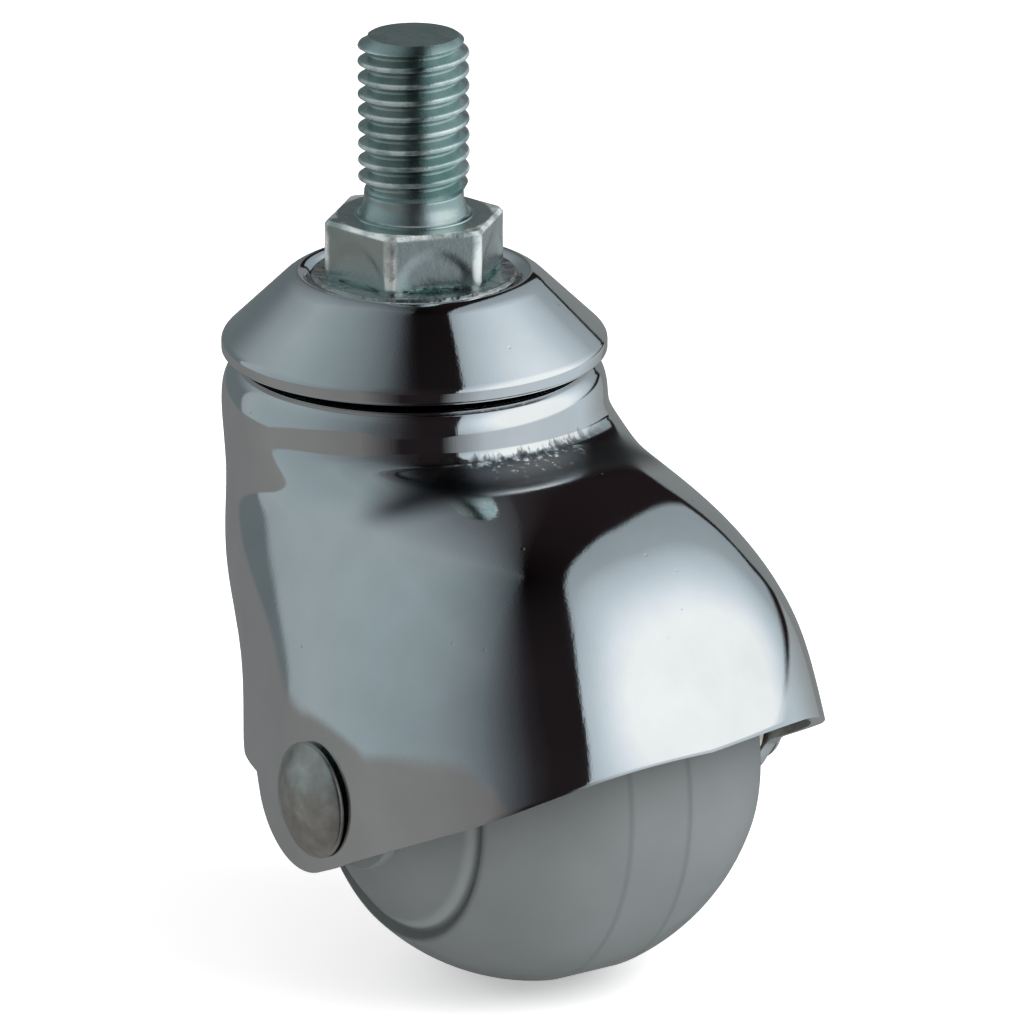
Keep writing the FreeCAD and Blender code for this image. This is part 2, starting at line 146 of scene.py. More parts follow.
# %% [markdown]
# ## Helpers for materials
# A finish is a small tree of nodes. One function adds a node, sets it and links it, and one turns a colour as
# written on a paint card, in sRGB, into the linear numbers that a shader reckons with.

# %% Node helper and colours
def linear(code):
    """An sRGB hex colour as linear RGBA."""
    parts = [int(code[i:i + 2], 16) / 255.0 for i in (1, 3, 5)]
    return tuple(p / 12.92 if p <= 0.04045 else ((p + 0.055) / 1.055) ** 2.4 for p in parts) + (1.0,)


def feed(tree, node, inputs):
    """Set a node's inputs, by name or number, or link one where its value is another node's socket."""
    for key, value in inputs.items():
        if isinstance(value, bpy.types.NodeSocket):
            tree.links.new(value, node.inputs[key])
        else:
            node.inputs[key].default_value = value


def add(tree, kind, inputs=None, **settings):
    """Add a node to tree, with its settings and inputs."""
    made = tree.nodes.new(kind)
    for key, value in settings.items():
        setattr(made, key, value)
    feed(tree, made, inputs or {})
    return made


def set_stops(ramp_node, stops):
    """Give a Color Ramp its stops, a list of (position, hex colour or grey level)."""
    elements = ramp_node.color_ramp.elements
    while len(elements) < len(stops):
        elements.new(0.5)
    for element, (position, colour) in zip(elements, stops):
        element.position = position
        element.color = linear(colour) if isinstance(colour, str) else (colour, colour, colour, 1.0)
    return ramp_node.outputs["Color"]


def every(millimetres):
    """Texture scale at which a pattern's features are this far apart on Object coordinates."""
    return 1.0 / (millimetres * MM)


def new_material(name):
    """A material with an empty tree but for its output and one Principled shader."""
    material = bpy.data.materials.new(name)
    material.use_nodes = True
    tree = material.node_tree
    tree.nodes.clear()
    shader = add(tree, "ShaderNodeBsdfPrincipled")
    add(tree, "ShaderNodeOutputMaterial", {"Surface": shader.outputs[0]})
    place = add(tree, "ShaderNodeTexCoord").outputs["Object"]
    return material, tree, shader, place


# %% [markdown]
# Wear and dirt sit in zones: a crest, a corner, a ring. A zone is worked out from how far a place lies from
# an axis or a level, with soft limits, and then serves as the share by which one colour is laid over another.

# %% Zones, coats and bumps
def reckon(tree, value, *sums):
    """Take a value through a row of sums, each an operation and the number or socket it works with."""
    for operation, other in sums:
        value = add(tree, "ShaderNodeMath", {0: value, 1: other}, operation=operation).outputs[0]
    return value


def zone(tree, *limits):
    """1 inside all limits and 0 outside. A limit is (value, where it begins, where it is full), in the
    value's own unit: millimetres on a piece and degrees in the tent."""
    share = 1.0
    for value, begins, full in limits:
        limit = add(tree, "ShaderNodeMapRange", {"Value": value, "From Min": begins, "From Max": full},
                    interpolation_type="SMOOTHSTEP")
        share = reckon(tree, limit.outputs[0], ("MULTIPLY", share))
    return share


def coated(tree, colour, *coats):
    """Lay coats over a colour. A coat is (zone, how well it covers, hex colour or colour socket)."""
    for where, cover, coat in coats:
        share = reckon(tree, where, ("MULTIPLY", cover))
        top = linear(coat) if isinstance(coat, str) else coat
        colour = add(tree, "ShaderNodeMix", {0: share, 6: colour, 7: top}, data_type="RGBA").outputs[2]
    return colour


def bumps(tree, *layers):
    """Bumps laid over each other. A layer is (pattern, depth in millimetres, strength)."""
    under = {}
    for pattern, depth, strength in layers:
        inputs = {"Height": pattern, "Distance": depth * MM, "Strength": strength}
        under = {"Normal": add(tree, "ShaderNodeBump", {**inputs, **under}).outputs[0]}
    return under["Normal"]


def sides(tree, place):
    """X, Y and Z of a place, in millimetres."""
    scaled = add(tree, "ShaderNodeVectorMath", {0: place, "Scale": 1.0 / MM}, operation="SCALE").outputs[0]
    return add(tree, "ShaderNodeSeparateXYZ", {"Vector": scaled}).outputs


def from_line(tree, place, point, square_to):
    """Distance in millimetres from a line through a point. square_to is 1 on the sides square to it."""
    offset = add(tree, "ShaderNodeVectorMath", {0: place, 1: point * MM}, operation="SUBTRACT").outputs[0]
    per_metre = tuple(side / MM for side in square_to)
    offset = add(tree, "ShaderNodeVectorMath", {0: offset, 1: per_metre}, operation="MULTIPLY").outputs[0]
    return add(tree, "ShaderNodeVectorMath", {0: offset}, operation="LENGTH").outputs["Value"]


SWIVEL, UPRIGHT, ALONG_AXLE = Vector((0.0, 0.0, 0.0)), (1.0, 1.0, 0.0), (1.0, 0.0, 1.0)
print("helpers ready")

# %% [markdown]
# ## Finish: polished chrome plate
# The cap and the hood are pressed steel, buffed by hand and chrome plated. Chrome is a nearly neutral mirror.
# What tells it from a perfect one is that the pressing leaves a very slow waviness, the buffing wheel leaves
# fine upright hairlines, and a few pits stay in the plate. Real hairlines lie closer than the 0.22 mm here,
# which is about as fine as the picture shows.

# %% Chrome plate
chrome, tree, shader, place = new_material("polished_chrome_plate")
upright = add(tree, "ShaderNodeMapping", {"Vector": place, "Scale": (1.0, 1.0, 0.06)}).outputs[0]
hairlines = add(tree, "ShaderNodeTexNoise", {"Vector": upright, "Scale": every(0.22), "Detail": 3.0})
waves = add(tree, "ShaderNodeTexNoise", {"Vector": place, "Scale": every(11.0), "Detail": 1.0})
pits = add(tree, "ShaderNodeTexVoronoi", {"Vector": place, "Scale": every(4.0)})
pit_depth = add(tree, "ShaderNodeValToRGB", {"Fac": pits.outputs["Distance"]})
pit_depth = set_stops(pit_depth, [(0.02, 0.0), (0.05, 1.0)])
normal = bumps(tree, (waves.outputs["Fac"], 0.05, 1.0), (hairlines.outputs["Fac"], 0.0024, 1.0),
               (pit_depth, 0.02, 0.6))
haze = add(tree, "ShaderNodeTexNoise", {"Vector": place, "Scale": every(6.0), "Detail": 4.0})
rough = add(tree, "ShaderNodeMapRange", {"Value": haze.outputs["Fac"], "From Min": 0.3, "From Max": 0.7,
                                         "To Min": 0.03, "To Max": 0.07})
tint = add(tree, "ShaderNodeValToRGB", {"Fac": haze.outputs["Fac"]})
tint = set_stops(tint, [(0.3, "#e4e6e7"), (0.7, "#edeff0")])

# %% [markdown]
# The buffing wheel doesn't reach right into the hollow corner where the neck meets the dome. The plate there
# is duller, and it begins in a ragged line of upright strokes. Its darker colour there is painted shade, for
# the hollow under the neck and the cap.

# %% Unbuffed corner under the neck, with painted shade
STROKE_LENGTH, CORNER_ROUGHNESS = 3.0, 0.2
strokes = add(tree, "ShaderNodeMapping", {"Vector": place, "Scale": (1.0, 1.0, 0.05)}).outputs[0]
strokes = add(tree, "ShaderNodeTexNoise", {"Vector": strokes, "Scale": every(0.6), "Detail": 3.0})
from_swivel = from_line(tree, place, SWIVEL, UPRIGHT)
forward, level = sides(tree, place)["X"], sides(tree, place)["Z"]
ragged = reckon(tree, strokes.outputs["Fac"], ("MULTIPLY", -STROKE_LENGTH), ("ADD", level))
below = reckon(tree, zone(tree, (ragged, -18.7, -19.4)), ("MAXIMUM", zone(tree, (level, -17.9, -18.4))))
shaded_unbuffed_corner = zone(tree, (from_swivel, 25.0, 21.5), (level, -22.5, -20.0), (forward, 13.0, 18.5))
shaded_unbuffed_corner = reckon(tree, shaded_unbuffed_corner, ("MULTIPLY", below))
rough = reckon(tree, shaded_unbuffed_corner, ("MULTIPLY", CORNER_ROUGHNESS), ("ADD", rough.outputs[0]))
# painted shade: the hollow corner under the neck is coloured darker
tint = coated(tree, tint, (shaded_unbuffed_corner, 1.0, "#545557"))
feed(tree, shader, {"Metallic": 1.0, "Base Color": tint, "Roughness": rough, "Normal": normal})
print("material", chrome.name)

# %% [markdown]
# Inside the hood the plate is never buffed. It is thin, grey and dull there, and shows the sheet's own grain.

# %% Unbuffed inside
inside_chrome, tree, shader, place = new_material("unbuffed_chrome_inside")
flow = add(tree, "ShaderNodeTexNoise", {"Vector": place, "Scale": every(1.5), "Detail": 4.0})
tint = add(tree, "ShaderNodeValToRGB", {"Fac": flow.outputs["Fac"]})
tint = set_stops(tint, [(0.3, "#8b8e8f"), (0.7, "#a0a3a4")])
normal = bumps(tree, (flow.outputs["Fac"], 0.04, 0.6))
feed(tree, shader, {"Metallic": 1.0, "Base Color": tint, "Roughness": 0.42, "Normal": normal})
print("material", inside_chrome.name)

# %% [markdown]
# ## Finish: blue passivated zinc
# The stem is plated with zinc and dipped in a thin blue-green passivation. It is a metal with a soft,
# slightly uneven shine, and the tint gathers in patches a few millimetres wide. The grain is drawn 0.25 mm
# wide, coarser than the real one, so that it shows.

# %% Passivated zinc
zinc, tree, shader, place = new_material("passivated_zinc")
patches = add(tree, "ShaderNodeTexNoise", {"Vector": place, "Scale": every(3.2), "Detail": 5.0})
grain = add(tree, "ShaderNodeTexNoise", {"Vector": place, "Scale": every(0.25), "Detail": 2.0})
tint = add(tree, "ShaderNodeValToRGB", {"Fac": patches.outputs["Fac"]})
tint = set_stops(tint, [(0.25, "#9fb9b6"), (0.5, "#bcd0cd"), (0.75, "#d9e5e3")])
rough = add(tree, "ShaderNodeMapRange", {"Value": patches.outputs["Fac"], "From Min": 0.3, "From Max": 0.7,
                                         "To Min": 0.2, "To Max": 0.34})

# %% [markdown]
# The die, the spanner and handling rub the tint off what stands out: the thread's crests, and the hexagon's
# corners and upper edge. These are coloured pale and less metallic, which is partly that wear and partly a
# painted highlight, the glint that these edges catch. The hexagon as a whole is greyer than the stud, and the
# ring that is swaged round its foot is grey and dented.

# %% Wear and painted glints on the stem
from_swivel = from_line(tree, place, SWIVEL, UPRIGHT)
level = sides(tree, place)["Z"]
on_hexagon = zone(tree, (from_swivel, 5.6, 6.2), (level, -4.9, -4.2))
crests = zone(tree, (from_swivel, 4.74, 4.88), (from_swivel, 5.1, 5.0))
corners = zone(tree, (from_swivel, 7.85, 8.05), (level, -5.0, -4.6))
upper_edge = zone(tree, (from_swivel, 6.7, 7.0), (level, -0.5, -0.25))
swaged = zone(tree, (from_swivel, 7.0, 7.4), (level, -5.1, -5.3))
broken = add(tree, "ShaderNodeMapRange", {"Value": patches.outputs["Fac"], "From Min": 0.36,
                                          "From Max": 0.56})
# painted highlight with wear: crests, hexagon corners and upper edge turn pale and less metallic
glint_and_wear = reckon(tree, crests, ("MULTIPLY", 0.5), ("MAXIMUM", corners), ("MAXIMUM", upper_edge))
glint_and_wear = reckon(tree, glint_and_wear, ("MULTIPLY", broken.outputs[0]), ("MULTIPLY", 0.75))
metal = reckon(tree, glint_and_wear, ("MULTIPLY", -0.6), ("ADD", 1.0))
tint = coated(tree, tint, (on_hexagon, 0.6, "#ced3d0"), (glint_and_wear, 1.0, "#f6f8f6"), (swaged, 1.0, "#c4c4c2"))
dents = add(tree, "ShaderNodeTexNoise", {"Vector": place, "Scale": every(1.3), "Detail": 2.0})
dents = reckon(tree, swaged, ("MULTIPLY", dents.outputs["Fac"]))
normal = bumps(tree, (grain.outputs["Fac"], 0.014, 0.8), (patches.outputs["Fac"], 0.08, 0.7),
               (dents, 0.3, 1.0))
feed(tree, shader, {"Metallic": metal, "Base Color": tint, "Roughness": rough.outputs[0], "Normal": normal})
print("material", zinc.name)

# %% [markdown]
# ## Finish: dull nickel on the rivet
# The axle's heads were set by a press after plating, which leaves the nickel dull, warm and finely pitted.

# %% Dull nickel
nickel, tree, shader, place = new_material("dull_nickel_plate")
mottle = add(tree, "ShaderNodeTexNoise", {"Vector": place, "Scale": every(1.6), "Detail": 5.0})
pits = add(tree, "ShaderNodeTexVoronoi", {"Vector": place, "Scale": every(0.9)})
pit_depth = add(tree, "ShaderNodeValToRGB", {"Fac": pits.outputs["Distance"]})
pit_depth = set_stops(pit_depth, [(0.08, 0.0), (0.2, 1.0)])
tint = add(tree, "ShaderNodeValToRGB", {"Fac": mottle.outputs["Fac"]})
tint = set_stops(tint, [(0.3, "#b5b1a9"), (0.55, "#cfccc6"), (0.75, "#e2e4e3")])
rough = add(tree, "ShaderNodeMapRange", {"Value": mottle.outputs["Fac"], "From Min": 0.3, "From Max": 0.7,
                                         "To Min": 0.32, "To Max": 0.46})
normal = bumps(tree, (mottle.outputs["Fac"], 0.05, 0.8), (pit_depth, 0.02, 0.5))
feed(tree, shader, {"Metallic": 1.0, "Base Color": tint, "Roughness": rough.outputs[0], "Normal": normal})
print("material", nickel.name)

# %% [markdown]
# ## Finish: satin grey wheel plastic
# The ball is moulded from a firm grey plastic. Its skin is satin, with a fine moulded grain and slow clouds of
# colour. The grain is drawn 0.22 mm wide, coarser than the real one, so that it shows. Faint dark lines of
# painted shade follow both edges of the running band, where its flat meets the sphere. The step round the hub
# gets painted shade, a dark band on its wall, and the skin just inside the step gets a painted highlight.

# %% Wheel plastic
plastic, tree, shader, place = new_material("satin_moulded_plastic")
cloud = add(tree, "ShaderNodeTexNoise", {"Vector": place, "Scale": every(9.0), "Detail": 3.0})
grain = add(tree, "ShaderNodeTexNoise", {"Vector": place, "Scale": every(0.22), "Detail": 2.0})
tint = add(tree, "ShaderNodeValToRGB", {"Fac": cloud.outputs["Fac"]})
tint = set_stops(tint, [(0.3, "#707576"), (0.7, "#777c7d")])
sideways = reckon(tree, sides(tree, place)["Y"], ("ABSOLUTE", 0.0))
from_axle = from_line(tree, place, AXLE, ALONG_AXLE)
# painted shade along both edges of the running band and on the step's wall, and a painted highlight just
# inside the step
band_edge_shade = zone(tree, (sideways, 2.55, 3.05), (sideways, 3.5, 3.1))
step_shade = zone(tree, (from_axle, 12.9, 13.5), (from_axle, 14.5, 13.9))
step_highlight = zone(tree, (from_axle, 12.0, 12.7), (from_axle, 13.2, 12.8))
tint = coated(tree, tint, (step_highlight, 0.5, "#9aa1a3"), (step_shade, 0.75, "#393d3e"), (band_edge_shade, 0.35, "#4a4f51"))
normal = bumps(tree, (grain.outputs["Fac"], 0.008, 0.6), (cloud.outputs["Fac"], 0.08, 0.6))
feed(tree, shader, {"Base Color": tint, "Roughness": 0.36, "IOR": 1.5, "Normal": normal})
print("material", plastic.name)

# %% [markdown]
# ## Finishes inside the castor
# The races and the sleeve are case hardened steel, dark and oiled. The balls are polished bearing steel, and
# the two washers are natural nylon, which is a milky plastic.

# %% Race steel, bearing steel and nylon
race_steel, tree, shader, place = new_material("oiled_case_hardened_steel")
film = add(tree, "ShaderNodeTexNoise", {"Vector": place, "Scale": every(2.0), "Detail": 4.0})
tint = add(tree, "ShaderNodeValToRGB", {"Fac": film.outputs["Fac"]})
tint = set_stops(tint, [(0.3, "#3a3939"), (0.7, "#565556")])
normal = bumps(tree, (film.outputs["Fac"], 0.03, 0.5))
feed(tree, shader, {"Metallic": 1.0, "Base Color": tint, "Roughness": 0.34, "Normal": normal})

ball_steel, tree, shader, place = new_material("polished_bearing_steel")
film = add(tree, "ShaderNodeTexNoise", {"Vector": place, "Scale": every(1.2), "Detail": 3.0})
rough = add(tree, "ShaderNodeMapRange", {"Value": film.outputs["Fac"], "To Min": 0.08, "To Max": 0.2})
feed(tree, shader, {"Metallic": 1.0, "Base Color": linear("#c3c5c7"), "Roughness": rough.outputs[0]})

nylon, tree, shader, place = new_material("natural_nylon")
cloud = add(tree, "ShaderNodeTexNoise", {"Vector": place, "Scale": every(1.5), "Detail": 3.0})
tint = add(tree, "ShaderNodeValToRGB", {"Fac": cloud.outputs["Fac"]})
tint = set_stops(tint, [(0.3, "#d2cfc4"), (0.7, "#e0ded5")])
feed(tree, shader, {"Base Color": tint, "Roughness": 0.45})

inner_nodes = {"upper_race": race_steel, "lower_race": race_steel, "axle_sleeve": race_steel,
               "thrust_washer_near": nylon, "thrust_washer_far": nylon}
for name in nodes:
    finish = ball_steel if "_ball_" in name else inner_nodes.get(name)
    if finish:
        for material_slot in nodes[name].material_slots:
            material_slot.material = finish
print("finished inner nodes:", sum("_ball_" in n for n in nodes) + len(inner_nodes))

# %% [markdown]
# ## The stem
# One cold headed piece: stud, hexagon, collar and shank. The thread is a helix, so its one-pitch profile is
# spun with a rise at each step, and its neighbours meet turn by turn. The stud's end and the run-out are made
# as the die makes them, by holding the radius under a limit.

# %% Thread
PITCH, THREAD_TURNS, STEPS_PER_TURN = 1.5, 12, 72
CREST, ROOT = 4.93, 4.06
STUD_TOP, THREAD_START = 16.35, 1.75
END_ROUNDING = 0.95
RUN_OUT_START, RUN_OUT_R, RUN_OUT_SLOPE = 2.0, 4.28, 0.55


def crest_limit(z):
    """Largest radius of the thread at a height: rounded end above, run-out below."""
    from_top = STUD_TOP - z
    end = CREST - END_ROUNDING * max(0.0, 1.0 - from_top / END_ROUNDING) ** 1.5
    run_out = RUN_OUT_R + RUN_OUT_SLOPE * max(0.0, z - RUN_OUT_START)
    return min(CREST, end, run_out)


stem_bm = bmesh.new()
flank = [(ROOT, 0.0), (ROOT + 0.03, 0.11), (4.34, 0.28), (4.76, 0.50), (4.88, 0.58), (CREST, 0.68)]
thread_profile = flank + [(r, PITCH - h) for r, h in reversed(flank)]
first = THREAD_START - PITCH
verts = [stem_bm.verts.new((r * MM, 0.0, (first + h) * MM)) for r, h in thread_profile]
edges = [stem_bm.edges.new(pair) for pair in zip(verts, verts[1:])]
bmesh.ops.spin(stem_bm, geom=verts + edges, cent=(0, 0, 0), axis=(0, 0, 1),
               dvec=(0, 0, PITCH * MM / STEPS_PER_TURN), angle=2.0 * math.pi * THREAD_TURNS,
               steps=STEPS_PER_TURN * THREAD_TURNS, use_merge=False)
bmesh.ops.remove_doubles(stem_bm, verts=stem_bm.verts, dist=2e-6)
for v in stem_bm.verts:
    radius = math.hypot(v.co.x, v.co.y)
    limit = crest_limit(v.co.z / MM) * MM
    if radius > limit:
        v.co.x *= limit / radius
        v.co.y *= limit / radius
for height, side in ((STUD_TOP, 1), (THREAD_START, -1)):
    cut = bmesh.ops.bisect_plane(stem_bm, geom=stem_bm.verts[:] + stem_bm.edges[:] + stem_bm.faces[:],
                                 plane_co=(0, 0, height * MM), plane_no=(0, 0, side), clear_outer=True)
    rim = [e for e in cut["geom_cut"] if isinstance(e, bmesh.types.BMEdge)]
    bmesh.ops.holes_fill(stem_bm, edges=rim, sides=0)
print("thread faces:", len(stem_bm.faces))

# %% [markdown]
# The hexagon is drawn from its rings too: a circle of six sides is divided finely and extruded down ring by
# ring. On each flat the header's punch has left a shallow arch-shaped hollow, whose top is about a millimetre
# below the upper edge, and the corners are slightly rounded.

# %% Hexagon
HEX_FLATS, HEX_LENGTH, HEX_TURN, FLAT_CUTS = 14.3, 5.3, 12.0, 27
CORNER_CUT, TOP_BEVEL, BEVEL_SLOPE, FOOT_ROUND, FOOT_TUCK = 0.13, 0.34, 0.9, 0.5, 1.1
ARCH_TOP, ARCH_CURVE, ARCH_HALF, HOLLOW_DEPTH, HOLLOW_FADE, SIDE_FADE = 1.05, 0.2, 3.9, 0.15, 1.2, 1.3
RING_STEP, RING_COUNT = 0.19, 24


def hexagon_point(angle, z):
    """Radius of the hexagon's skin in one direction and height, with its corners, bevels and hollows."""
    off_flat = abs((math.degrees(angle) - HEX_TURN + 30.0) % 60.0 - 30.0)
    from_flat = math.radians(30.0 - off_flat)
    flat = 0.5 * HEX_FLATS
    radius = min(flat / math.cos(from_flat), flat / math.cos(math.radians(30.0)) - CORNER_CUT)
    along = flat * math.tan(from_flat)
    arch = -ARCH_TOP - ARCH_CURVE * along * along
    depth = min(1.0, max(0.0, (arch - z) / HOLLOW_FADE))
    side = min(1.0, max(0.0, (ARCH_HALF - along) / SIDE_FADE))
    radius -= HOLLOW_DEPTH * depth * depth * (3.0 - 2.0 * depth) * side
    bevel = TOP_BEVEL - min(TOP_BEVEL, -z)
    foot = FOOT_ROUND - min(FOOT_ROUND, z + HEX_LENGTH)
    return radius - BEVEL_SLOPE * bevel - FOOT_TUCK * foot * foot


def join(target, part):
    """Add one bmesh to another, and free it."""
    mesh = bpy.data.meshes.new("part")
    part.to_mesh(mesh)
    part.free()
    target.from_mesh(mesh)
    bpy.data.meshes.remove(mesh)


hex_bm = bmesh.new()
bmesh.ops.create_circle(hex_bm, segments=6, radius=HEX_FLATS / math.sqrt(3.0) * MM)
bmesh.ops.subdivide_edges(hex_bm, edges=hex_bm.edges, cuts=FLAT_CUTS)
bmesh.ops.rotate(hex_bm, verts=hex_bm.verts, cent=(0, 0, 0),
                 matrix=Matrix.Rotation(math.radians(HEX_TURN), 3, "Z"))
levels = [0.0, -0.5 * TOP_BEVEL, -TOP_BEVEL] + [-TOP_BEVEL - RING_STEP * k for k in range(1, RING_COUNT + 1)]
levels += [-5.1, -HEX_LENGTH]
ring = hex_bm.edges[:]
for count, z in enumerate(levels):
    if count:
        made = bmesh.ops.extrude_edge_only(hex_bm, edges=ring)["geom"]
        ring = [g for g in made if isinstance(g, bmesh.types.BMEdge)]
    for v in {v for e in ring for v in e.verts}:
        angle = math.atan2(v.co.y, v.co.x)
        radius = hexagon_point(angle, z)
        v.co = Vector((radius * math.cos(angle), radius * math.sin(angle), z)) * MM
for z in (0.0, -HEX_LENGTH):
    rim = [e for e in hex_bm.edges if e.is_boundary and abs(e.verts[0].co.z - z * MM) < 1e-7]
    bmesh.ops.contextual_create(hex_bm, geom=rim)
join(stem_bm, hex_bm)
print("with hexagon:", len(stem_bm.faces))

# %% [markdown]
# The rest of the stem is turned: a smooth waist that flares into a low ring on the hexagon, the collar that
# is staked in the cap, the shank through both races and the end that is spread under the lower race.

# %% Waist, collar and shank
waist = [(0.0, 2.35, 0.0), (4.1, 2.35, 0.0), (4.42, 2.05, 0.1), (4.42, 1.35, 0.3), (4.75, 0.42, 0.2),
         (4.78, 0.2, 0.1), (5.25, 0.14, 0.06), (5.36, -0.04, 0.0), (0.0, -0.04, 0.0)]
collar = [(0.0, -5.25, 0.0), (8.85, -5.25, 0.0), (9.2, -5.5, 0.1), (9.2, -5.92, 0.0), (5.0, -5.92, 0.0),
          (5.0, -18.45, 0.0), (7.2, -18.45, 0.0), (7.2, -19.05, 0.25), (5.4, -19.95, 0.2), (0.0, -19.95, 0.0)]
for outline in (waist, collar):
    part = bmesh.new()
    turned(part, outline, 96)
    join(stem_bm, part)
finish_piece(stem_bm, "threaded_stem", zinc, "stem_head", "zinc_steel", "stem")

# %% [markdown]
# ## The cap
# A pressed cone over the race. Its inner lip rolls up round the hexagon, its cone falls at 44 degrees, and
# its short upright rim ends just above the hood. Rolled sheet has no sharp edge, so every ring is rounded.

# %% Cap
cap_outline = [(5.0, -5.9, 0.0), (9.3, -5.9, 0.25), (9.9, -5.28, 0.3), (10.4, -5.1, 0.25), (11.4, -5.65, 0.5),
               (16.92, -10.97, 0.18), (17.15, -11.3, 0.18), (17.15, -12.25, 0.1), (16.9, -12.5, 0.1),
               (16.1, -12.5, 0.08), (16.05, -12.4, 0.0), (16.05, -11.67, 0.0), (11.21, -7.0, 0.0),
               (5.0, -7.0, 0.0)]
bm = bmesh.new()
turned(bm, cap_outline, 240, closed=True)
finish_piece(bm, "race_cap", chrome, "stem_head", "chrome_plate", "cap")

# %% [markdown]
# ## The wheel
# A ball with a narrow flat running band, a shallow step where the tread ends on each side, and a low boss
# round the axle. Its outline follows spheres, so it is worked out point by point and then spun.

# %% Wheel
WHEEL_R, BAND_HALF, HUB_HALF, BORE_R = 20.3, 3.1, 19.25, 4.13
STEP_R, STEP_WIDTH, STEP_DEPTH, BOSS_R = 14.0, 0.6, 0.8, 7.0


def on_sphere(sphere, start, end, count):
    """Points of a sphere's outline between two radii from the axle."""
    low, high = math.asin(start / sphere), math.asin(end / sphere)
    angles = [low + (high - low) * k / count for k in range(count + 1)]
    return [(sphere * math.sin(a), sphere * math.cos(a), 0.0) for a in angles]


half = [(BORE_R, HUB_HALF, 0.0), (BOSS_R - 0.05, HUB_HALF, 0.25)]
hub_side = on_sphere(WHEEL_R - STEP_DEPTH, BOSS_R + 0.02, STEP_R - STEP_WIDTH, 10)
half += hub_side[:-1] + [hub_side[-1][:2] + (0.22,)]
tread = on_sphere(WHEEL_R, STEP_R, math.sqrt(WHEEL_R ** 2 - BAND_HALF ** 2), 16)
half += [tread[0][:2] + (0.25,)] + tread[1:-1] + [tread[-1][:2] + (0.3,)]
other = [(r, -h, c) for r, h, c in reversed(half)]
bm = bmesh.new()
turned(bm, half + other, 192, closed=True)
lay_on_axle(bm)
finish_piece(bm, "ball_wheel_tread", plastic, "ball_wheel", "wheel_plastic", "wheel", sharp=25.0)

# %% [markdown]
# ## The axle
# A riveted pin. Each head is a low dome pressed against the cheek, with a short upright edge.

# %% Axle
SEAT, HEAD_R, HEAD_TOP, HEAD_EDGE, PIN_R, DOME_RINGS = 23.0, 5.15, 25.1, 0.35, 2.5, 12
dome_height = HEAD_TOP - SEAT - HEAD_EDGE
dome = (HEAD_R ** 2 + dome_height ** 2) / (2.0 * dome_height)
rings = [HEAD_R * k / DOME_RINGS for k in range(DOME_RINGS)]
head = [(r, HEAD_TOP - dome + math.sqrt(dome ** 2 - r ** 2), 0.0) for r in rings]
head += [(HEAD_R, SEAT + HEAD_EDGE, 0.2), (HEAD_R, SEAT + 0.02, 0.0), (PIN_R, SEAT, 0.0)]
pin = head + [(r, -h, c) for r, h, c in reversed(head)]
bm = bmesh.new()
turned(bm, pin, 96)
lay_on_axle(bm)
finish_piece(bm, "riveted_axle", nickel, "hood_fork", "nickel_steel", "axle", sharp=40.0)

# %% [markdown]
# ## The hood
# The castor's face: one sheet, pressed into a round neck that swells into a dome over the ball and two
# cheeks down to the axle. Its skin is drawn as a loft, the way a pattern maker would: a few sections from the
# neck to the mouth, and smooth curves through them. A section is a rounded oblong. Its row says how far down
# it lies, how wide it is between neck and cheeks, how square it is in front and behind, and how far its rear
# end has run forward.

# %% Hood sections
NECK_R, SHOULDER_WIDTH, SHOULDER_DROP, HOOD_TOP, NECK_Z = 17.2, 1.7, 3.0, -13.05, -17.75
SHEET, DOME_R, CHEEK_HALF, REAR_FOOT_X = 1.3, 26.45, 22.85, -4.5
MOUTH_ANGLE, MOUTH_DROP, LIFT_X, LIFT_R = math.radians(26.0), 6.9, AXLE.x + 17.5, 29.9
CROWN_SETTLES, CROWN_FLATTER = 0.15, 0.27
SECTIONS = [(0.00, 0.00, 2.00, 2.00, 0.0), (0.18, -0.04, 2.00, 2.25, 0.01), (0.35, 0.34, 2.23, 2.30, 0.17),
            (0.53, 0.69, 2.45, 2.10, 0.41), (0.71, 0.94, 2.52, 2.25, 0.585), (0.87, 1.00, 2.49, 2.55, 0.70),
            (1.00, 1.00, 2.49, 2.60, 0.90), (1.13, 1.00, 2.49, 2.60, 1.06)]


def mix(a, b, share):
    return a + (b - a) * share


def straight_mouth_z(x):
    """Height of the straight line along the cheek's lower edge."""
    return AXLE.z - MOUTH_DROP + (x - AXLE.x) * math.tan(MOUTH_ANGLE)


def mouth_z(x):
    """Height of the mouth edge: straight, and curving up at the front."""
    ahead = LIFT_R * math.sin(MOUTH_ANGLE) + max(0.0, x - LIFT_X)
    rise = LIFT_R * math.cos(MOUTH_ANGLE) - math.sqrt(LIFT_R ** 2 - min(ahead, 0.9 * LIFT_R) ** 2)
    return straight_mouth_z(min(x, LIFT_X)) + rise


def crown_point(share):
    """Front line of the hood, from the neck over the dome to the mouth."""
    if share == 0.0:
        return NECK_R, NECK_Z
    start_x, start_z = NECK_R - AXLE.x, NECK_Z - AXLE.z
    end = math.pi / 2.0 - MOUTH_ANGLE - math.asin(-MOUTH_DROP * math.cos(MOUTH_ANGLE) / DOME_R)
    angle = mix(math.atan2(start_x, start_z), end, share)
    settle = 1.0 - (1.0 - min(1.0, share / CROWN_SETTLES)) ** 2
    past = max(0.0, share - CROWN_SETTLES) / (1.0 - CROWN_SETTLES)
    radius = mix(math.hypot(start_x, start_z), DOME_R, settle) - CROWN_FLATTER * math.sin(math.pi * past ** 2)
    return AXLE.x + radius * math.sin(angle), AXLE.z + radius * math.cos(angle)


def rear_point(share, run):
    """Rear line of the hood, down and forward from the neck."""
    return mix(-NECK_R, REAR_FOOT_X, run), mix(NECK_Z, mouth_z(REAR_FOOT_X), share)


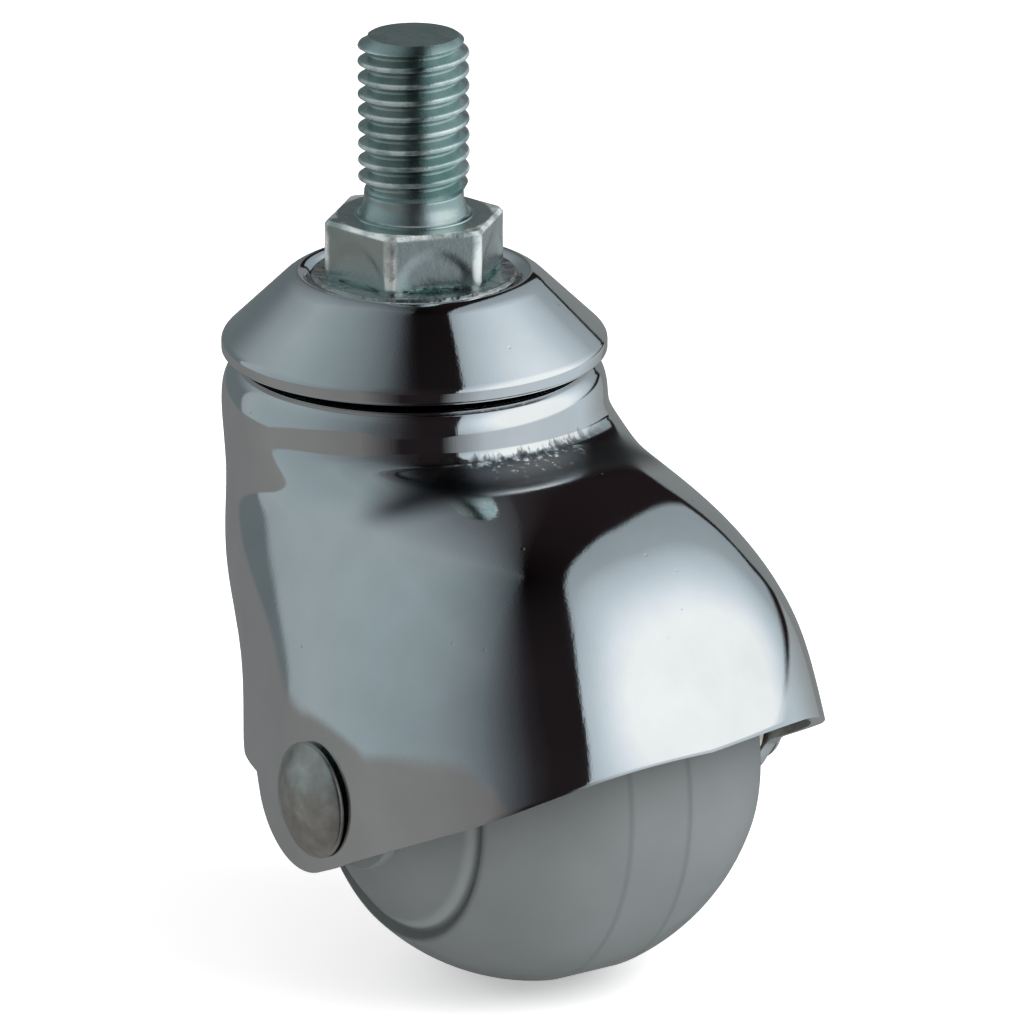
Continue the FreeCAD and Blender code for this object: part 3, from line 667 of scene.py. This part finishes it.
def section_point(row, angle):
    """One point of a section of the hood."""
    down, widening, front_square, rear_square, run = row
    front, rear = crown_point(down), rear_point(down, run)
    middle_share = mix(0.5, 0.56, down)
    c, s = math.cos(angle), math.sin(angle)
    power = 2.0 / (front_square if c > 0.0 else rear_square)
    along, across = math.copysign(abs(c) ** power, c), math.copysign(abs(s) ** power, s)
    share = middle_share + ((1.0 - middle_share) if along > 0.0 else middle_share) * along
    half_width = mix(NECK_R, CHEEK_HALF, widening)
    return Vector((mix(rear[0], front[0], share), half_width * across, mix(rear[1], front[1], share)))


def shoulder_point(turn, angle):
    """One point of the rounded shoulder over the neck."""
    radius = NECK_R - SHOULDER_WIDTH * (1.0 - math.sin(turn))
    z = HOOD_TOP - SHOULDER_DROP * (1.0 - math.cos(turn))
    return Vector((radius * math.cos(angle), radius * math.sin(angle), z))


print("sections:", len(SECTIONS))

# %% [markdown]
# A natural cubic spline runs through each column of section points, as a thin batten would.

# %% Curve through the sections
def spline_through(knots, points):
    """A function of the knot parameter that passes smoothly through the points."""
    n = len(points)
    step = [b - a for a, b in zip(knots, knots[1:])]
    gain, bend = [0.0] * n, [Vector((0, 0, 0)) for _ in range(n)]
    for i in range(1, n - 1):
        rise = 6.0 * ((points[i + 1] - points[i]) / step[i] - (points[i] - points[i - 1]) / step[i - 1])
        pivot = 2.0 * (step[i - 1] + step[i]) - step[i - 1] * gain[i - 1]
        gain[i] = step[i] / pivot
        bend[i] = (rise - step[i - 1] * bend[i - 1]) / pivot
    for i in range(n - 2, 0, -1):
        bend[i] -= gain[i] * bend[i + 1]

    def at(t):
        i = 0
        while i < n - 2 and t > knots[i + 1]:
            i += 1
        b = (t - knots[i]) / step[i]
        a = 1.0 - b
        curve = ((a ** 3 - a) * bend[i] + (b ** 3 - b) * bend[i + 1]) * step[i] ** 2 / 6.0
        return a * points[i] + b * points[i + 1] + curve

    return at


print("curve helper ready")

# %% [markdown]
# The trimmed edge, seen from the side, is a height for each place: the mouth line, the round lobe of the ear
# below the axle, the heel behind it, the slanting rear edge and the tongue left standing at the back. Where
# two of these meet, a soft minimum or maximum rounds the corner as the trimming die does. In front of the ear
# the far side is trimmed a little higher than the near one, so that hardly any of it shows below.

# %% Trimmed edge
EAR_R, EAR_X = 8.6, AXLE.x - 2.8
EAR_Z = mouth_z(EAR_X) + EAR_R / math.cos(MOUTH_ANGLE)
EAR_START = EAR_X + EAR_R * math.sin(MOUTH_ANGLE)
HEEL_X, HEEL_Z = AXLE.x - 16.5, AXLE.z - 1.05
REAR_SLOPE, TONGUE_Z = math.tan(math.radians(54.4)), NECK_Z - 5.0
HEEL_CORNER, REAR_CORNER, TONGUE_CORNER = 1.6, 1.7, 3.6
RISE_LENGTH, RISE_FROM_Y, RISE_WIDTH, RISE_SLOPE = 5.0, -16.0, 30.0, 0.0875
TIP_X, TIP_LENGTH, TIP_FROM_Y, TIP_SLOPE = 34.0, 10.0, -4.0, 0.03


def soft_min(a, b, width):
    blend = max(0.0, 1.0 - abs(a - b) / width)
    return min(a, b) - 0.25 * width * blend * blend


def soft_max(a, b, width):
    return -soft_min(-a, -b, width)


def far_rise(x, y):
    """How much higher the mouth was trimmed towards the far cheek, in front of the ear."""
    share = min(1.0, max(0.0, (x - EAR_START) / RISE_LENGTH))
    tip = min(1.0, max(0.0, (x - TIP_X) / TIP_LENGTH))
    towards_far = RISE_SLOPE * min(RISE_WIDTH, max(0.0, y - RISE_FROM_Y))
    return share * share * (3.0 - 2.0 * share) * towards_far + tip * TIP_SLOPE * max(0.0, y - TIP_FROM_Y)


def edge_z(x, y):
    """Height of the hood's trimmed edge, seen from the side."""
    if x >= EAR_START:
        return max(mouth_z(x), straight_mouth_z(x) + far_rise(x, y))
    lobe = EAR_Z - math.sqrt(max(0.0, EAR_R ** 2 - (x - EAR_X) ** 2))
    heel = soft_min(lobe, HEEL_Z, HEEL_CORNER)
    rear = soft_max(heel, HEEL_Z + (HEEL_X - x) * REAR_SLOPE, REAR_CORNER)
    return soft_min(rear, TONGUE_Z, TONGUE_CORNER)


def edge_share(curve, start, end):
    """The share of a curve at which it first meets the trimmed edge: a walk, and then halving."""
    steps = 160
    low = start
    for k in range(1, steps + 1):
        high = start + (end - start) * k / steps
        point = curve(high)
        if point.z < edge_z(point.x, point.y):
            break
        low = high
    for _ in range(24):
        half_way = 0.5 * (low + high)
        point = curve(half_way)
        if point.z < edge_z(point.x, point.y):
            high = half_way
        else:
            low = half_way
    return low


print("ear centre", round(EAR_X, 2), round(EAR_Z, 2), "heel", round(HEEL_X, 2), round(HEEL_Z, 2))

# %% [markdown]
# A flat grid is to be rolled up on the curves. Its columns stand closer together beside the ears, where the
# edge turns sharply. Each column is one line from the shoulder down the neck and the body. Its points are
# spaced evenly and then averaged with their neighbours a number of times, which gives the hollow corner under
# the neck the softness of pressed sheet.

# %% Columns of the skin
COLUMNS, FLANGE_ROWS, SKIN_ROWS = 384, 10, 96
SHOULDER_TURNS = [math.radians(t) for t in range(0, 91, 10)]
BODY_POINTS, LINE_POINTS, SOFTENING = 90, 210, 26
EAR_SIDE, EAR_SPREAD, EAR_CROWDING = 1.95, 0.22, 2.2


def column_angles(count):
    """Directions of the columns, denser beside the rear of both ears."""
    fine = 7200
    weights = []
    for k in range(fine):
        a = -math.pi + 2.0 * math.pi * (k + 0.5) / fine
        weights.append(1.0 + EAR_CROWDING * math.exp(-((abs(a) - EAR_SIDE) / EAR_SPREAD) ** 2))
    total, running, picked = sum(weights), 0.0, [-math.pi]
    for k, w in enumerate(weights):
        running += w
        if running >= total * len(picked) / count and len(picked) < count:
            picked.append(-math.pi + 2.0 * math.pi * (k + 1.0) / fine)
    return picked + [math.pi]


def stations(angle):
    """The points below the neck that one column's spline passes through."""
    return [section_point(row, angle) for row in SECTIONS[1:]]


def along_line(points, count):
    """The same line with evenly spaced points."""
    lengths = [0.0]
    for a, b in zip(points, points[1:]):
        lengths.append(lengths[-1] + (b - a).length)
    even, i = [points[0]], 0
    for k in range(1, count):
        target = lengths[-1] * k / count
        while lengths[i + 1] < target:
            i += 1
        share = (target - lengths[i]) / (lengths[i + 1] - lengths[i])
        even.append(points[i].lerp(points[i + 1], share))
    return even + [points[-1]]


sample = [stations(math.pi * (k + 0.5) / 24.0) for k in range(24)]
knots = [0.0]
for i in range(len(sample[0]) - 1):
    knots.append(knots[-1] + sum((s[i + 1] - s[i]).length for s in sample) / len(sample))


def skin_line(angle):
    """Shoulder, neck wall and body of one column, with the press's soft corner where neck and body meet."""
    body = spline_through(knots, stations(angle))
    line = [shoulder_point(t, angle) for t in SHOULDER_TURNS] + [section_point(SECTIONS[0], angle)]
    line += [body(knots[-1] * k / BODY_POINTS) for k in range(BODY_POINTS + 1)]
    line = along_line(line, LINE_POINTS)
    for _ in range(SOFTENING):
        inner = [0.25 * a + 0.5 * b + 0.25 * c for a, b, c in zip(line, line[1:], line[2:])]
        line = [line[0]] + inner + [line[-1]]
    return line


def walk(line):
    """A function that gives the point at a share of a line."""
    def at(share):
        place = min(len(line) - 1.001, max(0.0, share * (len(line) - 1)))
        i = int(place)
        return line[i].lerp(line[i + 1], place - i)
    return at


PAST_SHOULDER = 0.09
angles = column_angles(COLUMNS)
curves = [walk(skin_line(a)) for a in angles]
ends = [edge_share(c, PAST_SHOULDER, 1.0) for c in curves]
print("columns:", len(curves), "shortest and longest share:", round(min(ends), 3), round(max(ends), 3))

# %% [markdown]
# The grid's first rows are the flange under the cap, with the shallow groove in which the balls run. The
# others follow the curves, each of which ends at the trimmed edge, so the grid's last row is the edge itself.

# %% Hood skin
FLANGE_BORE, GROOVE_R, GROOVE_HALF, GROOVE_DEPTH = 8.6, 11.4, 0.8, 0.16


def flange_point(share, angle):
    """The flat flange from its bore out to the shoulder, with the ball groove."""
    radius = mix(FLANGE_BORE, NECK_R - SHOULDER_WIDTH, share)
    dip = max(0.0, 1.0 - ((radius - GROOVE_R) / GROOVE_HALF) ** 2)
    return Vector((radius * math.cos(angle), radius * math.sin(angle), HOOD_TOP - GROOVE_DEPTH * dip))


bm = bmesh.new()
bmesh.ops.create_grid(bm, x_segments=COLUMNS, y_segments=FLANGE_ROWS + SKIN_ROWS, size=0.5)
for v in bm.verts:
    column = round((v.co.x + 0.5) * COLUMNS)
    row = round((0.5 - v.co.y) * (FLANGE_ROWS + SKIN_ROWS))
    if row < FLANGE_ROWS:
        point = flange_point(row / FLANGE_ROWS, angles[column])
    else:
        share = (row - FLANGE_ROWS) / SKIN_ROWS
        point = curves[column](ends[column] * share)
    v.co = point * MM
bmesh.ops.remove_doubles(bm, verts=bm.verts, dist=1e-6)
bm.normal_update()
outward = 0.0
for face in bm.faces:
    centre = face.calc_center_median()
    outward += face.normal.dot(Vector((centre.x, centre.y, 0.0)))
if outward < 0.0:
    bmesh.ops.reverse_faces(bm, faces=bm.faces)
print("hood skin faces:", len(bm.faces), "outward sum", round(outward, 3))

# %% [markdown]
# Solidify gives the skin its sheet thickness, inwards, and the unbuffed finish inside. Bevel takes the burr
# off the trimmed edge.

# %% Hood wall and rims
mesh = bpy.data.meshes.new("pressed_hood")
bm.to_mesh(mesh)
bm.free()
mesh.shade_smooth()
mesh.materials.append(chrome)
mesh.materials.append(inside_chrome)
hood = bpy.data.objects.new("pressed_hood", mesh)
bpy.context.collection.objects.link(hood)
wall = hood.modifiers.new("wall", "SOLIDIFY")
wall.thickness = SHEET * MM
wall.offset = -1.0
wall.use_even_offset = True
wall.use_quality_normals = True
wall.material_offset = 1
rims = hood.modifiers.new("rims", "BEVEL")
rims.width = 0.28 * MM
rims.segments = 3
rims.limit_method = "ANGLE"
rims.angle_limit = math.radians(50.0)
rims.harden_normals = False
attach(hood, "hood_fork")
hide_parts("hood")
print("hood wall", SHEET, "mm")

# %% [markdown]
# ## The studio
# The castor stands on a pale sheet of paper. The paper is nearly white by its own colour, and a little of
# that white is for the camera alone, so that the background comes out white while the light on the castor
# stays plain.

# %% Paper
PAPER_RADIUS, CAMERA_WHITE = 2.5, 0.42
paper, tree, shader, place = new_material("studio_paper")
seen = reckon(tree, add(tree, "ShaderNodeLightPath").outputs["Is Camera Ray"], ("MULTIPLY", CAMERA_WHITE))
feed(tree, shader, {"Base Color": linear("#f4f4f3"), "Roughness": 0.9, "Emission Color": (1.0, 1.0, 1.0, 1.0),
                    "Emission Strength": seen})
lowest = cad_box[0][2]
bm = bmesh.new()
bmesh.ops.create_circle(bm, cap_ends=True, segments=96, radius=PAPER_RADIUS)
bmesh.ops.translate(bm, verts=bm.verts, vec=(middle.x * MM, 0.0, lowest))
mesh = bpy.data.meshes.new("paper")
bm.to_mesh(mesh)
bm.free()
mesh.materials.append(paper)
floor = bpy.data.objects.new("paper", mesh)
bpy.context.collection.objects.link(floor)
floor.visible_glossy = False
print("paper at z =", round(lowest / MM, 2), "mm")

# %% [markdown]
# Chrome shows its studio, so the studio is built as a photographer builds it: grey-blue cloth to the left, a
# black gap round the camera and overhead, and a large soft box to the right that is brightest in its middle.
# The tent is seen only by reflections. It is painted by direction: the turn round the upright axis,
# counted from the camera to the right, and the height above the horizon, both in degrees.

# %% Directions in the tent
tent_material = bpy.data.materials.new("tent_cloth")
tent_material.use_nodes = True
tree = tent_material.node_tree
tree.nodes.clear()


def ramp(value, stops):
    """A colour for each value, through (value, colour) stops."""
    low, high = stops[0][0], stops[-1][0]
    share = add(tree, "ShaderNodeMapRange", {"Value": value, "From Min": low, "From Max": high}).outputs[0]
    places = [((place - low) / (high - low), colour) for place, colour in stops]
    return set_stops(add(tree, "ShaderNodeValToRGB", {"Fac": share}), places)


place = add(tree, "ShaderNodeTexCoord").outputs["Object"]
way = add(tree, "ShaderNodeVectorMath", {0: place}, operation="NORMALIZE").outputs[0]
way = add(tree, "ShaderNodeSeparateXYZ", {"Vector": way}).outputs
turn = reckon(tree, way["Y"], ("ARCTAN2", way["X"]), ("MULTIPLY", math.degrees(1.0)))
height = reckon(tree, way["Z"], ("ARCSINE", 0.0), ("MULTIPLY", math.degrees(1.0)))
print("tent nodes so far:", len(tree.nodes))

# %% [markdown]
# The cloth is lightest on the left and fades to black towards the camera and overhead. Below its hem, which
# isn't level, lies the studio's floor, with the same black gap in front of the camera.

# %% Cloth and floor
cloth = ramp(turn, [(-180, "#3c3b3d"), (-170, "#54585b"), (-160, "#656a6e"), (-150, "#727a7e"),
                    (-138, "#7d878b"), (-126, "#879194"), (-115, "#919b9e"), (-95, "#8a979b"),
                    (-75, "#838f93"), (-60, "#7c878b"), (-45, "#70797e"), (-35, "#666f72"), (-25, "#53585c"),
                    (-15, "#3e4043"), (-5, "#262426"), (5, "#1c181a"), (170, "#1c1618"), (180, "#2e2c2e")])
fade = ramp(height, [(45, 1.0), (57, 0.86), (63, 0.79), (69, 0.70), (75, 0.56), (81, 0.40), (87, 0.22),
                     (90, 0.18)])
cloth = add(tree, "ShaderNodeMix", {0: 1.0, 6: cloth, 7: fade}, data_type="RGBA", blend_type="MULTIPLY")
behind_left = zone(tree, (turn, -121.5, -124.0), (height, 30.0, 8.0))
cloth = coated(tree, cloth.outputs[2], (behind_left, 1.0, "#5e6668"))
floor_shade = ramp(turn, [(-180, "#6a6c6e"), (-125, "#717171"), (-95, "#7a7a79"), (-60, "#757574"),
                          (-32, "#6c6b6b"), (-18, "#4a4849"), (-8, "#1e1a1c"), (16, "#1e1a1c"),
                          (25, "#767a7e"), (42, "#a8b0b6"), (60, "#b4bcc1"), (115, "#b2bdc3"),
                          (135, "#989fa2"), (150, "#8a8c8b"), (180, "#8f908e")])
HORIZON_LOW, HORIZON_SPAN = -20.0, 40.0
HORIZON = [(-180, -8.0), (-125, -12.8), (-95, -12.8), (-81, -8.0), (-67, -2.8), (-55, 2.0), (-45, 5.6),
           (-30, 8.0), (-15, 0.0), (15, 0.0), (30, 4.8), (110, 4.8), (125, 2.0), (140, -0.8), (180, -3.2)]
hem = ramp(turn, [(place, (lift - HORIZON_LOW) / HORIZON_SPAN) for place, lift in HORIZON])
hem = add(tree, "ShaderNodeSeparateColor", {"Color": hem}).outputs[0]
over_hem = reckon(tree, hem, ("MULTIPLY", -HORIZON_SPAN), ("ADD", -HORIZON_LOW), ("ADD", height))
outside = coated(tree, cloth, (zone(tree, (over_hem, 1.0, -1.0)), 1.0, floor_shade))
print("tent nodes so far:", len(tree.nodes))

# %% [markdown]
# The soft box has the outline of a rounded oblong, widest at the horizon and rounded overhead. Low down on
# its right side it ends earlier, and a grey wall closes the gap behind it.

# %% Soft box
BOX_TURN, BOX_HALF, BOX_TOP, BOX_SQUARE = 92.0, 67.0, 74.0, 2.5
GLOW_TURN, GLOW_HEIGHT, GLOW_HALF, GLOW_RISE = 80.0, 22.0, 67.0, 54.0
right_side = reckon(tree, turn, ("GREATER_THAN", BOX_TURN))
shorter = reckon(tree, height, ("MULTIPLY", -1.0), ("ADD", 16.0), ("MAXIMUM", 0.0), ("MULTIPLY", 1.5),
                 ("MINIMUM", 12.0), ("MULTIPLY", right_side))
across = reckon(tree, turn, ("ADD", shorter), ("SUBTRACT", BOX_TURN), ("ABSOLUTE", 0.0), ("DIVIDE", BOX_HALF),
                ("POWER", BOX_SQUARE))
outline = reckon(tree, height, ("MAXIMUM", 0.0), ("DIVIDE", BOX_TOP), ("POWER", BOX_SQUARE), ("ADD", across))
past_gap = reckon(tree, height, ("SUBTRACT", 6.0), ("MAXIMUM", 0.0), ("MULTIPLY", -0.03), ("ADD", outline))
grey_wall = zone(tree, (past_gap, 1.09, 1.18), (turn, 104.0, 118.0), (height, 30.0, 14.0))
outside = coated(tree, outside, (grey_wall, 1.0, "#767a7b"))

off_x = reckon(tree, turn, ("SUBTRACT", GLOW_TURN), ("DIVIDE", GLOW_HALF))
off_z = reckon(tree, height, ("SUBTRACT", GLOW_HEIGHT), ("DIVIDE", GLOW_RISE))
off_z = reckon(tree, off_z, ("MULTIPLY", off_z))
off_middle = reckon(tree, off_x, ("MULTIPLY", off_x), ("ADD", off_z), ("SQRT", 0.0))
soft_box = ramp(off_middle, [(0.0, "#e9edec"), (0.42, "#e9edec"), (0.52, "#dbe1e6"), (0.6, "#c9d2d8"),
                             (0.7, "#b5c0c7"), (0.8, "#a5b0b6"), (0.9, "#8f999e"), (1.1, "#858f94")])
in_box = zone(tree, (outline, 1.04, 0.96), (height, 2.0, 6.0))
shade = coated(tree, outside, (in_box, 1.0, soft_box))
print("tent nodes:", len(tree.nodes))

# %% [markdown]
# The painting goes on a large sphere round the castor. Only reflections see it, so it neither lights the matt
# pieces nor shows behind the castor.

# %% Tent
TENT_RADIUS, TENT_STRENGTH = 1.6, 1.22
light = add(tree, "ShaderNodeEmission", {"Color": shade, "Strength": TENT_STRENGTH})
add(tree, "ShaderNodeOutputMaterial", {"Surface": light.outputs[0]})
bm = bmesh.new()
bmesh.ops.create_uvsphere(bm, u_segments=64, v_segments=32, radius=TENT_RADIUS)
mesh = bpy.data.meshes.new("tent")
bm.to_mesh(mesh)
bm.free()
mesh.materials.append(tent_material)
tent = bpy.data.objects.new("tent", mesh)
tent.rotation_euler = (0.0, 0.0, math.radians(CAMERA_TURN - 90.0))
bpy.context.collection.objects.link(tent)
tent.visible_camera = False
tent.visible_diffuse = False
tent.visible_transmission = False
tent.visible_volume_scatter = False
tent.visible_shadow = False
print("tent radius", TENT_RADIUS, "m")

# %% [markdown]
# Two soft lamps and an even sky light the matt pieces. The world is white for the camera and for reflections
# that pass the tent, and a plain grey for everything else.

# %% World and lamps
LAMP_DISTANCE, SKY_LEVEL = 0.9, 0.55
world = bpy.data.worlds.new("studio")
bpy.context.scene.world = world
world.use_nodes = True
tree = world.node_tree
tree.nodes.clear()
path = add(tree, "ShaderNodeLightPath").outputs
seen = reckon(tree, path["Is Camera Ray"], ("MAXIMUM", path["Is Glossy Ray"]),
              ("MAXIMUM", path["Is Transmission Ray"]))
level = add(tree, "ShaderNodeMapRange", {"Value": seen, "To Min": SKY_LEVEL, "To Max": 1.0})
sky = add(tree, "ShaderNodeBackground", {"Color": (1.0, 1.0, 1.0, 1.0), "Strength": level.outputs[0]})
add(tree, "ShaderNodeOutputWorld", {"Surface": sky.outputs[0]})


def soft_lamp(name, from_camera, lift, size, power):
    """A square lamp round the castor, at an angle from the camera and a height, in degrees."""
    round_axis, rise = math.radians(CAMERA_TURN - 90.0 + from_camera), math.radians(lift)
    direction = Vector((math.cos(round_axis) * math.cos(rise), math.sin(round_axis) * math.cos(rise),
                        math.sin(rise)))
    data = bpy.data.lights.new(name, "AREA")
    data.size = size
    data.energy = power
    lamp = bpy.data.objects.new(name, data)
    lamp.location = middle * MM + LAMP_DISTANCE * direction
    lamp.rotation_euler = direction.to_track_quat("Z", "Y").to_euler()
    lamp.visible_glossy = False
    bpy.context.collection.objects.link(lamp)


soft_lamp("window_right", 70.0, 40.0, 0.7, 9.0)
soft_lamp("window_left", -80.0, 35.0, 0.6, 3.0)
bpy.context.scene.view_settings.view_transform = "Standard"
print("lamps: 2")
